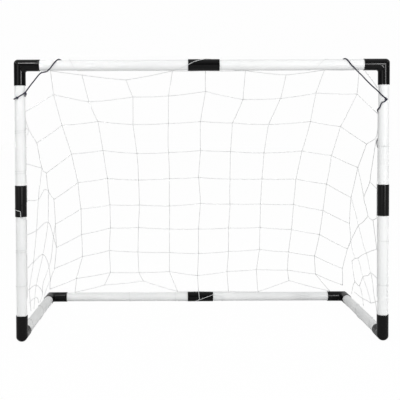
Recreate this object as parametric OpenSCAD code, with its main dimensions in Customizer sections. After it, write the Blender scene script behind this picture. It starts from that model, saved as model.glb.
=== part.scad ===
// Push-fit practice goal: white plastic tubes in black socket fittings, with a knotted
// square-mesh net. Millimetres. +Z is up, the mouth faces -Y, and the origin is on the
// floor under the middle of the frame.

/* [Frame] */
// Width over the fittings of the two posts
goal_width = 1200; // [900:5:1500]
// Height from the floor to the top of the crossbar fittings
goal_height = 905; // [700:5:1100]
// Depth at the floor over the front and rear fittings
goal_depth = 633; // [480:1:800]

/* [Tubes] */
// Outside diameter of the white tubes
tube_od = 33.4; // [28:0.1:40]
// Wall of the white tubes
tube_wall = 2.2; // [1.6:0.1:3.2]
// Play left at the end of each tube before it meets its stop
tube_end_play = 0.5; // [0.2:0.1:2]

/* [Fittings] */
// Wall of a fitting round its socket
fitting_wall = 1.9; // [1.4:0.1:3]
// Radial play between a tube and its socket
socket_play = 0.15; // [0.05:0.05:0.3]
// Length of an elbow arm from the crossing of its axes to its mouth
elbow_arm = 64.5; // [56:0.5:80]
// Depth of an elbow socket from its mouth to its stop
elbow_socket = 36; // [24:1:38]
// Radius of the rounded outer corner of an elbow
corner_round = 14; // [6:1:17]
// Radius of the fillet in the inner corner of an elbow
corner_fillet = 7; // [4:1:9]
// Length of a straight coupler
coupler_length = 100; // [80:1:130]
// Length of the stop ring in the middle of a coupler
coupler_stop = 8; // [4:1:16]
// How far the crossbar coupler stands right of the middle
crossbar_joint_x = 6; // [-30:1:30]
// How far the rear coupler stands right of the middle
rear_joint_x = 12; // [-30:1:30]

/* [Net] */
// Thickness of the net twine
twine = 1.6; // [1.2:0.1:1.6]
// Width of a net knot
knot = 3.6; // [2.8:0.1:5]
// Distance from the crossbar axis down to where a corner strand is tied to its post
corner_tie_drop = 148; // [110:1:200]
// How far the lowest corner knots stay above the axis of the ground frame
corner_tie_lift = 38; // [30:1:60]
// Clearance between a cord or knot and what it lies on
cord_play = 0.3; // [0.2:0.1:0.5]

/* [Corner cords] */
// Thickness of the dark cords that tie the top corners
corner_cord = 2.8; // [2:0.1:4]

/* [Hidden] */
$fn = 64;

// --- frame sizes worked out from the driving ones ---------------------------------
eps = 0.01;
tube_r = tube_od / 2;
socket_r = tube_r + socket_play;
fitting_r = socket_r + fitting_wall;
stop_r = tube_r - tube_wall;
half_w = goal_width / 2 - fitting_r;
front_y = -goal_depth / 2 + fitting_r;
rear_y = goal_depth / 2 - fitting_r;
ground_z = fitting_r;
top_z = goal_height - fitting_r;
post_joint_z = (ground_z + top_z) / 2;
elbow_stop = elbow_arm - elbow_socket;
tube_start = elbow_stop + tube_end_play;
joint_reach = coupler_stop / 2 + tube_end_play;
mouth_chamfer = 0.8;

// --- fittings ------------------------------------------------------------------------
// The half space on the X arm's side of the mitre between the two arms
module mitre_side() {
    reach = 2 * elbow_arm;
    translate([0, 0, -reach])
        linear_extrude(2 * reach)
            polygon([[-reach, -reach], [reach, -reach], [reach, reach]]);
}

module x_arm() {
    behind = fitting_r + 5;
    intersection() {
        translate([-behind, 0, 0])
            rotate([0, 90, 0])
                cylinder(r = fitting_r, h = elbow_arm + behind);
        mitre_side();
    }
}

// What is cut away to round the outer corner: all outside a tube bent about a line just
// inside the corner. That tube is a little thicker than the arms, so that it crosses them
// instead of just touching them.
module corner_cutter() {
    bend_in = fitting_r - corner_round;
    over_skin = 0.15;
    outside = fitting_r + 3;
    translate([-bend_in, -bend_in, 0])
        difference() {
            translate([-outside, -outside, -outside])
                cube([outside, outside, 2 * outside]);
            rotate_extrude()
                intersection() {
                    translate([-bend_in, 0])
                        circle(fitting_r + over_skin);
                    translate([0, -2 * fitting_r])
                        square([2 * fitting_r, 4 * fitting_r]);
                }
        }
}

// Bend inside the two arms that fills their inner corner
module inner_fillet() {
    bend = fitting_r + corner_fillet;
    below_skin = 0.4;
    translate([bend, bend, 0])
        rotate([0, 0, 180])
            rotate_extrude(angle = 90)
                translate([bend, 0])
                    circle(fitting_r - below_skin);
}

// The hollow of one arm: a bore that meets the other arm's at the mitre, and the socket
module socket_bore() {
    past_end = 1;
    intersection() {
        translate([-fitting_r, 0, 0])
            rotate([0, 90, 0])
                cylinder(r = stop_r, h = fitting_r + elbow_arm + past_end);
        mitre_side();
    }
    rotate([0, 90, 0]) {
        translate([0, 0, elbow_stop])
            cylinder(r = socket_r, h = elbow_socket + past_end);
        translate([0, 0, elbow_arm - mouth_chamfer])
            cylinder(r1 = socket_r, r2 = socket_r + 2 * mouth_chamfer, h = 2 * mouth_chamfer);
    }
}

// An elbow with its corner at the origin and its arms along +X and +Y
module elbow() {
    color([0.05, 0.05, 0.055])
    difference() {
        union() {
            x_arm();
            mirror([1, -1, 0])
                x_arm();
            inner_fillet();
        }
        corner_cutter();
        socket_bore();
        mirror([1, -1, 0])
            socket_bore();
    }
}

// A straight coupler along Z, centred on its stop ring
module coupler() {
    half = coupler_length / 2;
    color([0.05, 0.05, 0.055])
    difference() {
        cylinder(r = fitting_r, h = coupler_length, center = true);
        cylinder(r = stop_r, h = coupler_length + 2, center = true);
        for (up = [0, 1])
            mirror([0, 0, up]) {
                translate([0, 0, coupler_stop / 2])
                    cylinder(r = socket_r, h = half);
                translate([0, 0, half - mouth_chamfer])
                    cylinder(r1 = socket_r, r2 = socket_r + 2 * mouth_chamfer, h = 2 * mouth_chamfer);
            }
    }
}

// --- tubes ---------------------------------------------------------------------------
// A tube along Z from one height to another
module tube(from, to) {
    color([0.93, 0.93, 0.92])
    translate([0, 0, from])
        difference() {
            cylinder(r = tube_r, h = to - from);
            translate([0, 0, -1])
                cylinder(r = tube_r - tube_wall, h = to - from + 2);
        }
}

module post_tube(side, from, to) {
    translate([side * half_w, front_y, 0])
        tube(from, to);
}

// A tube along X at a given place across the goal
module cross_tube(y, z, from, to) {
    translate([0, y, z])
        rotate([0, 90, 0])
            tube(from, to);
}

module side_tube(side) {
    translate([side * half_w, 0, ground_z])
        rotate([-90, 0, 0])
            tube(front_y + tube_start, rear_y - tube_start);
}

// --- net: knots in balance under the pull of their strands -------------------------------
// Rows run from the crossbar (0) to the rear bar (9) and columns from left (0) to right
// (10). Column 0 and 10 are the corner strands. Rows 0 and 9 have no corner knots.
last_row = 9;
last_col = 10;
// Reach from a tube's axis to the middle of a knot that lies on the tube or a fitting
knot_reach = 0.71 * knot;
function seat(on_fitting) = (on_fitting ? fitting_r : tube_r) + cord_play + knot_reach;
// Where knots lie round each tube: under and behind the crossbar, on top of the rear bar,
// inside and behind a post, and at a slant on a side bar
under_crossbar = [0, 0.6, -0.8];
over_rear_bar = [0, -0.17, 0.985];
beside_post = [cos(30), sin(30)];
over_side_bar = [sin(30), cos(30)];
behind_post = [cos(45), sin(45)];
function near(at, joint, margin = knot) = abs(at - joint) < coupler_length / 2 + margin;
function near_corner(x) = abs(x) > half_w - elbow_arm - knot;
// Strands beside a coupler are held as high as the knots on it
beside_joint = 1.5 * coupler_length;
// Shares of the frame's width at which columns 1 to 9 meet the crossbar and the rear bar
top_share = [-0.417, -0.327, -0.206, -0.082, 0.009, 0.12, 0.232, 0.335, 0.43];
rear_share = [-0.417, -0.318, -0.185, -0.069, 0.004, 0.107, 0.206, 0.314, 0.451];
// Columns whose end knots hang free between two lashings
top_free = [2, 3, 7];
rear_free = [2, 3, 8];
// Pull of the strands across the net, column by column, against 1 for those down it
across_pull = [0.24, 0.28, 0.28, 0.28, 0.27, 0.26, 0.22, 0.19, 0.17, 0.10];
top_edge_pull = [8, 6, 5.8, 6, 6, 5.6, 6.1, 6];
rear_edge_pull = 1.6;
corner_pull = 2.1;
first_pull = 1.6;
side_pull = 0.063;
knot_weight = 1;
// Where the lowest knot of a corner strand lies in from the post's and rear bar's axes
low_corner_in = 8;
low_corner_front = 20;
// Spacing from which the side knots start
side_start_step = 110;
balance_steps = 220;

// Side nets: knots in each row 2 to 7 between the post and the corner strand
side_first = 2;
side_last = 7;
side_count = [0, 1, 2, 2, 3, 4];
side_before = [0, 0, 1, 3, 5, 8];
// Row of the corner knot from which each upright strand hangs
upright_from = [2, 3, 5, 6, 7];
// Shares of the ground depth at which the upright strands reach the side bar
upright_share = [0.17, 0.36, 0.55, 0.74, 0.9];
back_knots = 106;
side_knots = 23;

// Numbers of the knots in the one list that holds them all
function back_id(r, c) = r == 0 ? c - 1 : r == last_row ? 97 + c - 1 : 9 + 11 * (r - 1) + c;
function side_base(s) = back_knots + side_knots * s;
function side_id(s, r, j) = side_base(s) + side_before[r - side_first] + j - 1;
function post_id(s, r) = side_base(s) + 12 + r - side_first;
function bar_id(s, j) = side_base(s) + 18 + j - 1;
function corner_id(s, r) = back_id(r, s == 0 ? 0 : last_col);
function has(list, v) = len([for (x = list) if (x == v) 1]) > 0;

corner_top = top_z - corner_tie_drop;
corner_low = ground_z + corner_tie_lift;
function hand(s) = s == 0 ? -1 : 1;
function tie_z(r) = ground_z + (corner_top - ground_z) * (0.923 - 0.156 * (r - side_first));
function row_x(shares, c) = shares[c - 1] * 2 * half_w;

// Starting places: lashed knots stay there, and the free ones move from there
function top_start(c) = let (x = row_x(top_share, c), reach = seat(near(x, crossbar_joint_x, beside_joint)))
    [x, front_y, top_z] + reach * under_crossbar;
function rear_start(c) = let (x = row_x(rear_share, c),
        reach = seat(near(x, rear_joint_x, beside_joint) || near_corner(x)))
    [x, rear_y, ground_z] + reach * over_rear_bar;
function corner_start(s, r) = let (t = (r - 1) / 7, reach = (seat(false) + 2 * cord_play) * behind_post)
    [hand(s) * (half_w - reach.x * (1 - t) - low_corner_in * t),
     front_y + reach.y * (1 - t) + (rear_y - low_corner_front - front_y) * t,
     corner_top * (1 - t) + corner_low * t];
function middle_start(r, c) = let (t = r / last_row)
    top_start(c) * (1 - t) + rear_start(c) * t;
start_knots = [
    for (c = [1:9]) [top_start(c), !has(top_free, c)],
    for (r = [1:8]) for (c = [0:last_col])
        c == 0 || c == last_col ? [corner_start(c == 0 ? 0 : 1, r), r == 1 || r == 8]
                                : [middle_start(r, c), false],
    for (c = [1:9]) [rear_start(c), !has(rear_free, c)],
    for (s = [0, 1]) each [
        for (r = [side_first:side_last]) for (j = [1:1:side_count[r - side_first]])
            [[hand(s) * half_w, front_y + j * side_start_step, tie_z(r)], false],
        for (r = [side_first:side_last]) let (reach = seat(near(tie_z(r), post_joint_z)))
            [[hand(s) * (half_w - reach * beside_post.x), front_y + reach * beside_post.y, tie_z(r)],
             true],
        for (j = [1:5]) let (y = front_y + upright_share[j - 1] * (rear_y - front_y),
                reach = seat(y > rear_y - elbow_arm - knot))
            [[hand(s) * (half_w - reach * over_side_bar.x), y, ground_z + reach * over_side_bar.y],
             true]]];

// Strands as [knot, knot, pull, direction], where direction 0 runs along a row and 1 down
back_strands = [
    for (c = [1:8]) [back_id(0, c), back_id(0, c + 1), top_edge_pull[c - 1], 0],
    for (r = [1:8]) for (c = [0:9]) [back_id(r, c), back_id(r, c + 1), across_pull[c], 0],
    for (c = [1:8]) [back_id(last_row, c), back_id(last_row, c + 1), rear_edge_pull, 0],
    for (c = [1:9]) for (r = [0:8]) [back_id(r, c), back_id(r + 1, c), r == 0 ? first_pull : 1, 1],
    for (s = [0, 1]) for (r = [1:7]) [corner_id(s, r), corner_id(s, r + 1), corner_pull, 1]];
function side_rows(s) = [for (r = [side_first:side_last]) let (n = side_count[r - side_first])
    for (j = [n:-1:0]) [j == n ? corner_id(s, r) : side_id(s, r, j + 1),
                        j == 0 ? post_id(s, r) : side_id(s, r, j), side_pull, 0]];
function reaches(r, j) = r > upright_from[j - 1] && side_count[r - side_first] >= j;
function upright_stops(s, j) = [corner_id(s, upright_from[j - 1]),
    for (r = [side_first:side_last]) if (reaches(r, j)) side_id(s, r, j),
    bar_id(s, j)];
function side_uprights(s) = [for (j = [1:5]) let (stops = upright_stops(s, j))
    for (k = [0:len(stops) - 2]) [stops[k], stops[k + 1], side_pull, 1]];
all_strands = concat(back_strands, side_rows(0), side_uprights(0), side_rows(1), side_uprights(1));

// For each knot, its neighbours and their pulls
knot_ties = [for (i = [0:len(start_knots) - 1])
    [for (e = all_strands) if (e[0] == i || e[1] == i) [e[0] == i ? e[1] : e[0], e[2]]]];
function sum(list, i = 0, total = 0) = i == len(list) ? total : sum(list, i + 1, total + list[i]);
function sum_points(list, i = 0, total = [0, 0, 0]) =
    i == len(list) ? total : sum_points(list, i + 1, total + list[i]);
knot_total = [for (ties = knot_ties) sum([for (t = ties) t[1]])];
function balanced(places, steps) = steps == 0 ? places
    : balanced([for (i = [0:len(places) - 1]) start_knots[i][1] ? places[i]
        : (sum_points([for (t = knot_ties[i]) places[t[0]] * t[1]]) - [0, 0, knot_weight])
            / knot_total[i]], steps - 1);
knots = balanced([for (k = start_knots) k[0]], balance_steps);

// --- net: solids -------------------------------------------------------------------------
// Corner number of a knot's cube: face of an axis on one side, then the two other steps
function cube_corner(i, axis, side, p, q) = 8 * i +
    (axis == 0 ? side + 2 * p + 4 * q : axis == 1 ? 2 * side + 4 * p + q : 4 * side + p + 2 * q);
function cube_ring(i, axis, side) = [for (pq = [[0, 0], [1, 0], [1, 1], [0, 1]])
    cube_corner(i, axis, side, pq[0], pq[1])];
function quad(a, b, c, d) = [[a, b, c], [a, c, d]];
function skin(ring_a, ring_b) = [for (k = [0:3]) let (n = (k + 1) % 4)
    each quad(ring_a[k], ring_b[k], ring_b[n], ring_a[n])];

// A net panel: a small cube at each knot, with strands that thin out to the twine.
// axes are the panel's across, down and outward directions.
module net_panel(places, strands, axes) {
    count = len(places);
    // Where the twine of a strand is thinnest, half way, with a slight sag
    function middle(e) = (places[e[0]] + places[e[1]]) / 2 - [0, 0, twine / 2];
    corners = [for (p = places) for (n = [0, 1]) for (v = [0, 1]) for (u = [0, 1])
        p + ((u - 0.5) * axes[0] + (v - 0.5) * axes[1] + (n - 0.5) * axes[2]) * knot];
    function twine_step(dir, p, q) = dir == 0
        ? (p - 0.5) * axes[1] + (q - 0.5) * axes[2]
        : (p - 0.5) * axes[2] + (q - 0.5) * axes[0];
    twines = [for (e = strands) for (pq = [[0, 0], [1, 0], [1, 1], [0, 1]])
        middle(e) + twine_step(e[3], pq[0], pq[1]) * twine];
    function twine_ring(k) = [for (m = [0:3]) 8 * count + 4 * k + m];
    strand_faces = [for (k = [0:len(strands) - 1]) let (e = strands[k])
        each concat(skin(cube_ring(e[0], e[3], 1), twine_ring(k)),
                    skin(twine_ring(k), cube_ring(e[1], e[3], 0)))];
    function used(i, axis, side) =
        len([for (e = strands) if (e[3] == axis && e[1 - side] == i) 1]) > 0;
    caps = [for (i = [0:count - 1]) for (axis = [0:2]) for (side = [0, 1])
        if (!used(i, axis, side)) let (r = cube_ring(i, axis, side))
            each side == 0 ? quad(r[0], r[1], r[2], r[3]) : quad(r[3], r[2], r[1], r[0])];
    color([0.96, 0.96, 0.95])
        polyhedron(points = concat(corners, twines), faces = concat(strand_faces, caps),
            convexity = 20);
}

slope = [0, rear_y - front_y, ground_z - top_z];
down_slope = slope / norm(slope);
module back_net() {
    net_panel([for (i = [0:back_knots - 1]) knots[i]], back_strands,
        [[1, 0, 0], down_slope, cross([1, 0, 0], down_slope)]);
}

// A side net ends in knots of its own, each beside a knot of the corner strand
module side_net(s) {
    aside = [hand(s) * (knot + 2 * cord_play), 0, 0];
    side_first_id = side_base(s);
    corner_rows = [for (r = [side_first:side_last]) corner_id(s, r)];
    places = concat([for (i = [0:side_knots - 1]) knots[side_first_id + i]],
        [for (i = corner_rows) knots[i] + aside]);
    function local(i) = i >= back_knots ? i - side_first_id
        : side_knots + search(i, corner_rows)[0];
    net_panel(places, [for (e = concat(side_rows(s), side_uprights(s)))
        [local(e[0]), local(e[1]), e[2], e[3]]], [[0, -1, 0], [0, 0, -1], [1, 0, 0]]);
}

// --- cords -----------------------------------------------------------------------------
// One unbroken tube along a route of [point, radius], with flat ends
function unit(v) = v / norm(v);
function heading(route, i) = let (last = len(route) - 1)
    unit(route[min(i + 1, last)][0] - route[max(i - 1, 0)][0]);
function carried(frame, way) = unit(frame - way * (frame * way));
function side_ways(route, i = 0, out = []) = i == len(route) ? out
    : side_ways(route, i + 1, concat(out, [i == 0
        ? unit(cross(heading(route, 0), abs(heading(route, 0).z) > 0.9 ? [1, 0, 0] : [0, 0, 1]))
        : carried(out[i - 1], heading(route, i))]));
module cord_tube(route, sides) {
    ways = side_ways(route);
    last = len(route) - 1;
    points = [for (i = [0:last]) let (up = cross(heading(route, i), ways[i]))
        for (k = [0:sides - 1]) let (a = 360 * k / sides)
            route[i][0] + route[i][1] * (cos(a) * ways[i] + sin(a) * up)];
    walls = [for (i = [0:last - 1]) for (k = [0:sides - 1]) let (n = (k + 1) % sides)
        each quad(i * sides + k, (i + 1) * sides + k, (i + 1) * sides + n, i * sides + n)];
    ends = [for (k = [1:sides - 2]) each [[0, k, k + 1],
        [last * sides, last * sides + k + 1, last * sides + k]]];
    polyhedron(points = points, faces = concat(walls, ends), convexity = 12);
}

// --- lacing: twine wound round the tubes ---------------------------------------------------
lace_sides = 6;
lace_steps = 12;
// Chords between rings stay clear of the tube
lace_lift = (twine / 2 + cord_play) / cos(180 / lace_steps);
// Reach from a tube's axis to the twine's middle, raised where it crosses a coupler
level_past_joint = 14;
down_past_joint = 34;
function lace_reach(s, joint) = let (gap = abs(s - joint) - coupler_length / 2,
        drop = (gap - level_past_joint) / (down_past_joint - level_past_joint))
    (fitting_r - (fitting_r - tube_r) * min(1, max(0, drop))) / cos(180 / lace_steps) + lace_lift;
// Route along an axis through base, past the places [distance along it, angle from out to up]
function lace_route(base, along, out, up, places, joint) = let (last = len(places) - 2)
    [for (k = [0:last]) let (a = places[k], b = places[k + 1],
            steps = max(1, ceil(abs(b[1] - a[1]) * lace_steps / 360)))
        for (i = [0:steps - (k == last ? 0 : 1)]) let (at = a + (b - a) * i / steps)
            [base + along * at[0] + (out * cos(at[1]) + up * sin(at[1])) * lace_reach(at[0], joint),
             twine / 2]];
// Least gap of a wound route to its other turns
function self_gap(route) = min([for (i = [0:len(route) - 1])
    for (j = [i + lace_steps / 2:1:len(route) - 1]) norm(route[i][0] - route[j][0])]) - twine;

module lacing(name, route) {
    echo(str(name, ": least gap to itself ", self_gap(route), " mm"));
    color([0.96, 0.96, 0.95])
        cord_tube(route, lace_sides);
}

front = [0, -1, 0];
up = [0, 0, 1];
no_joint = 10000;
// Places as [share of the distance from the middle to a post's axis, angle from the front up].
// Along the crossbar: down across the front, along the underside, up over the coupler and on.
crossbar_places = [[-0.74, 150], [-0.712, 20], [-0.695, -40], [-0.678, -90], [-0.193, -90],
    [-0.152, -72], [-0.091, -10], [-0.047, 36], [0, 80], [0.05, 125], [0.1, 165], [0.2, 270],
    [0.585, 270], [0.616, 310], [0.643, 360], [0.667, 410], [0.695, 460], [0.737, 530]];
// Along the back of the rear bar: a turn beside a tie or where the net hangs free of the bar,
// and up across the front of the coupler
rear_places = [[-0.858, 165], [-0.466, 165], [-0.456, -195], [-0.154, -195], [-0.145, -555],
    [-0.142, -555], [-0.127, -435], [-0.124, -418], [-0.0895, -418], [-0.0055, -418],
    [0.016, -388], [0.107, -336], [0.131, -345], [0.165, -345], [0.181, -555], [0.868, -555]];
// Down each post, as [share of the way up to the corner tie, angle from inside towards the
// back]: along the inner side past the ties, with turns round the post between them. On the
// left the twine also comes round the outside and down the front of the coupler.
past_ties = 15;
left_post_places = [[0.963, past_ties], [0.9135, past_ties], [0.9065, past_ties - 360],
    [0.736, past_ties - 360], [0.729, past_ties - 720], [0.69, past_ties - 720],
    [0.6, past_ties - 720], [0.58, -630], [0.569, -540], [0.559, -445], [0.53, -440],
    [0.514, past_ties - 360], [0.484, past_ties - 360], [0.381, past_ties - 360],
    [0.374, past_ties - 720], [0.2255, past_ties - 720], [0.2185, past_ties - 1080],
    [0.168, past_ties - 1080]];
right_post_places = [[0.963, past_ties], [0.845, past_ties], [0.838, past_ties - 360],
    [0.722, past_ties - 360], [0.692, past_ties - 360], [0.514, past_ties - 360],
    [0.484, past_ties - 360], [0.423, past_ties - 360], [0.416, past_ties - 720],
    [0.2255, past_ties - 720], [0.2185, past_ties - 1080], [0.168, past_ties - 1080]];
// Along a side bar: how far beyond the elbows its lacing starts
bar_lace_start = elbow_arm + 25;
function across(places) = [for (p = places) [p[0] * half_w, p[1]]];
crossbar_route = lace_route([0, front_y, top_z], [1, 0, 0], front, up, across(crossbar_places),
    crossbar_joint_x);
rear_route = lace_route([0, rear_y, ground_z], [1, 0, 0], front, up, across(rear_places),
    rear_joint_x);
function post_route(s) = lace_route([hand(s) * half_w, front_y, 0], up, [-hand(s), 0, 0], [0, 1, 0],
    [for (p = s == 0 ? left_post_places : right_post_places)
        [ground_z + (corner_top - ground_z) * p[0], p[1]]], post_joint_z);
function bar_route(s) = lace_route([hand(s) * half_w, 0, ground_z], [0, 1, 0], [-hand(s), 0, 0], up,
    [[front_y + bar_lace_start, -15], [rear_y - bar_lace_start, 705]], no_joint);

// --- dark cords that tie the two top corners -------------------------------------------------
cord_r = corner_cord / 2;
wrap = tube_r + cord_play + cord_r;
// Reach beyond the wrap at which straight steps between places stay clear of the tube
step_lift = 1.4;
// Places on the crossbar as [x from the post's axis, angle from the front up]
function on_bar(s, x, a, extra = step_lift) = [hand(s) * (half_w - x),
    front_y - (wrap + extra) * cos(a), top_z + (wrap + extra) * sin(a)];
// Places on the post as [drop from the crossbar's axis, angle from the front inward]
function on_post(s, drop, a, extra = step_lift) = [hand(s) * (half_w - (wrap + extra) * sin(a)),
    front_y - (wrap + extra) * cos(a), top_z - drop];
// Places between them as [x from the post's axis, how far ahead of it, drop]
function in_air(s, x, ahead, drop) = [hand(s) * (half_w - x), front_y - ahead, top_z - drop];
left_cord_places = [
    on_bar(0, 142, 215, 2), on_bar(0, 138, 175), on_bar(0, 133, 132), on_bar(0, 126.5, 90),
    on_bar(0, 121, 60), on_bar(0, 115, 29), on_bar(0, 107, -4), on_bar(0, 99, -36),
    on_bar(0, 87, -63, 4), in_air(0, 78, 11, 23.5), in_air(0, 69, 11, 25.5),
    in_air(0, 60.5, 12, 33), in_air(0, 49, 12, 47.5), in_air(0, 36, 12, 63.5),
    in_air(0, 26, 12, 77), on_post(0, 85, 72, 2), on_post(0, 91, 46), on_post(0, 95.5, 22),
    on_post(0, 101.5, -6), on_post(0, 104.5, -22, 2.2), on_post(0, 106, -40, 2),
    on_post(0, 107, -66), on_post(0, 107, -100), on_post(0, 106, -135), on_post(0, 104, -175),
    on_post(0, 101, -215), on_post(0, 96, -245, 2.8), on_post(0, 95, -256, 3.6),
    on_post(0, 100, -262, 4)];
right_cord_places = [
    on_bar(1, 141, 215, 2), on_bar(1, 136, 175), on_bar(1, 131, 132), on_bar(1, 125, 90),
    on_bar(1, 118.5, 48), on_bar(1, 112, 8), on_bar(1, 99, -33), in_air(1, 86, 15, 23.3),
    in_air(1, 73, 14, 35.5), in_air(1, 59, 14, 50.4), in_air(1, 41.5, 14, 67.8),
    in_air(1, 25.5, 14.5, 82), on_post(1, 96.5, 38), on_post(1, 104, 12),
    on_post(1, 108.5, -6, 1.8), on_post(1, 112.5, -9, 2.2), on_post(1, 117, 0, 2),
    on_post(1, 119.5, 9), on_post(1, 123, 32), on_post(1, 130, 46), on_post(1, 138, 60),
    on_post(1, 146, 76), on_post(1, 156, 104), on_post(1, 166, 128), on_post(1, 184, 150, 1.8),
    on_post(1, 204, 158, 3.5), on_post(1, 222, 146, 7), on_post(1, 236, 131, 10.8),
    on_post(1, 250, 130, 10.4), on_post(1, 264, 133, 9)];
// Places at which a cord is knotted, and how much thicker it is there
left_cord_knots = [19, 20];
right_cord_knots = [15, 16];
knotted = 1.7;
function cord_route(places, knots) = [for (i = [0:len(places) - 1])
    [places[i], cord_r * (has(knots, i) ? knotted : 1)]];
left_cord_route = cord_route(left_cord_places, left_cord_knots);
right_cord_route = cord_route(right_cord_places, right_cord_knots);
corner_cord_sides = 6;
module corner_tie(route) {
    color([0.07, 0.08, 0.14])
        cord_tube(route, corner_cord_sides);
}

// --- assembly ------------------------------------------------------------------------------
module top_left_elbow() { translate([-half_w, front_y, top_z]) rotate([-90, 0, 0]) elbow(); }
module top_right_elbow() { mirror([1, 0, 0]) top_left_elbow(); }
module front_left_elbow() { translate([-half_w, front_y, ground_z]) rotate([90, 0, 90]) elbow(); }
module front_right_elbow() { mirror([1, 0, 0]) front_left_elbow(); }
module rear_left_elbow() { translate([-half_w, rear_y, ground_z]) rotate([180, 0, 0]) elbow(); }
module rear_right_elbow() { mirror([1, 0, 0]) rear_left_elbow(); }
module crossbar_coupler() { translate([crossbar_joint_x, front_y, top_z]) rotate([0, 90, 0]) coupler(); }
module rear_bar_coupler() { translate([rear_joint_x, rear_y, ground_z]) rotate([0, 90, 0]) coupler(); }
module post_coupler(side) { translate([side * half_w, front_y, post_joint_z]) coupler(); }

top_left_elbow();
top_right_elbow();
front_left_elbow();
front_right_elbow();
rear_left_elbow();
rear_right_elbow();
crossbar_coupler();
post_coupler(-1);  // left_post_coupler
post_coupler(1);  // right_post_coupler
rear_bar_coupler();
cross_tube(front_y, top_z, -half_w + tube_start, crossbar_joint_x - joint_reach);  // crossbar_tube_left
cross_tube(front_y, top_z, crossbar_joint_x + joint_reach, half_w - tube_start);  // crossbar_tube_right
post_tube(-1, post_joint_z + joint_reach, top_z - tube_start);  // left_post_upper_tube
post_tube(-1, ground_z + tube_start, post_joint_z - joint_reach);  // left_post_lower_tube
post_tube(1, post_joint_z + joint_reach, top_z - tube_start);  // right_post_upper_tube
post_tube(1, ground_z + tube_start, post_joint_z - joint_reach);  // right_post_lower_tube
side_tube(-1);  // left_side_tube
side_tube(1);  // right_side_tube
cross_tube(rear_y, ground_z, -half_w + tube_start, rear_joint_x - joint_reach);  // rear_tube_left
cross_tube(rear_y, ground_z, rear_joint_x + joint_reach, half_w - tube_start);  // rear_tube_right
back_net();
side_net(0);  // left_side_net
side_net(1);  // right_side_net
lacing("crossbar lacing", crossbar_route);  // crossbar_lacing
lacing("left post lacing", post_route(0));  // left_post_lacing
lacing("right post lacing", post_route(1));  // right_post_lacing
lacing("left bar lacing", bar_route(0));  // left_bar_lacing
lacing("right bar lacing", bar_route(1));  // right_bar_lacing
lacing("rear bar lacing", rear_route);  // rear_bar_lacing
corner_tie(left_cord_route);  // left_corner_cord
corner_tie(right_cord_route);  // right_corner_cord
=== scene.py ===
"""Looks of the hockey goal net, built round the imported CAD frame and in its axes, in metres."""
import math

import bpy
import numpy as np
from mathutils import Matrix, Vector


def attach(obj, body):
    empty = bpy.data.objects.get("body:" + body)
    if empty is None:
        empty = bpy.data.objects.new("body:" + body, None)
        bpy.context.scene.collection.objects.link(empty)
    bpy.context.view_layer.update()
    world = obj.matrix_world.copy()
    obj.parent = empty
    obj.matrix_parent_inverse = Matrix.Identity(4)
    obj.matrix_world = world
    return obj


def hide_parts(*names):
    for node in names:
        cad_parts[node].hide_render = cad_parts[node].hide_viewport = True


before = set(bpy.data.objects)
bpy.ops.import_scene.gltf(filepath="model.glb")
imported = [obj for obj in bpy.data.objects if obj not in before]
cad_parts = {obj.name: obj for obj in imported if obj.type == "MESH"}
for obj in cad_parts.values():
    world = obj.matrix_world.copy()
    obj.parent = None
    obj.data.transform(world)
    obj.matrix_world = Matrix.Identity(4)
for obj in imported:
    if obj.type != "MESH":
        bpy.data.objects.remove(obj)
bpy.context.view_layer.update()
MM = 0.001
rng = np.random.default_rng(7)

# ---------------------------------------------------------------- camera, as the photo has it
IMAGE_PX = 400
FOCAL_PX = 794.7
PRINCIPAL_PX = (176.92, 156.14)
SENSOR_MM = 36.0
CAMERA_AT = Vector((-0.0849, -2.8422, 0.6738))
CAMERA_YAW, CAMERA_PITCH, CAMERA_ROLL = 0.00176, -0.03081, -0.00296


def camera_axes():
    """Right, up and forward of the camera."""
    cy, sy = math.cos(CAMERA_YAW), math.sin(CAMERA_YAW)
    cp, sp = math.cos(CAMERA_PITCH), math.sin(CAMERA_PITCH)
    cr, sr = math.cos(CAMERA_ROLL), math.sin(CAMERA_ROLL)
    forward = Vector((sy * cp, cy * cp, sp))
    right = Vector((cy, -sy, 0))
    up = right.cross(forward)
    return right * cr + up * sr, up * cr - right * sr, forward


def make_camera():
    """The camera, with the photograph's own off-centre middle as its shift."""
    right, up, forward = camera_axes()
    data = bpy.data.cameras.new("camera")
    data.sensor_width = SENSOR_MM
    data.lens = FOCAL_PX / IMAGE_PX * SENSOR_MM
    data.shift_x = 0.5 - PRINCIPAL_PX[0] / IMAGE_PX
    data.shift_y = PRINCIPAL_PX[1] / IMAGE_PX - 0.5
    data.clip_start, data.clip_end = 0.05, 60
    cam = bpy.data.objects.new("camera", data)
    turn = Matrix((right, up, -forward)).transposed().to_4x4()
    cam.matrix_world = Matrix.Translation(CAMERA_AT) @ turn
    bpy.context.scene.collection.objects.link(cam)
    bpy.context.scene.camera = cam


def pixel_ray(pixel):
    """From the camera through a pixel, one metre deep."""
    right, up, forward = camera_axes()
    return (forward + right * ((pixel[0] - PRINCIPAL_PX[0]) / FOCAL_PX)
            - up * ((pixel[1] - PRINCIPAL_PX[1]) / FOCAL_PX))


def pixel_of(point):
    """A point's pixel and its depth from the camera."""
    right, up, forward = camera_axes()
    reach = Vector(point) - CAMERA_AT
    depth = reach.dot(forward)
    return (PRINCIPAL_PX[0] + FOCAL_PX * reach.dot(right) / depth,
            PRINCIPAL_PX[1] - FOCAL_PX * reach.dot(up) / depth, depth)


def moved_to_pixel(point, pixel, along):
    """The point moved, in the plane through it that is square to along, onto a pixel's ray."""
    ray, along = pixel_ray(pixel), Vector(along)
    far = (Vector(point) - CAMERA_AT).dot(along) / ray.dot(along)
    return np.array(CAMERA_AT + ray * far)


make_camera()

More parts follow.
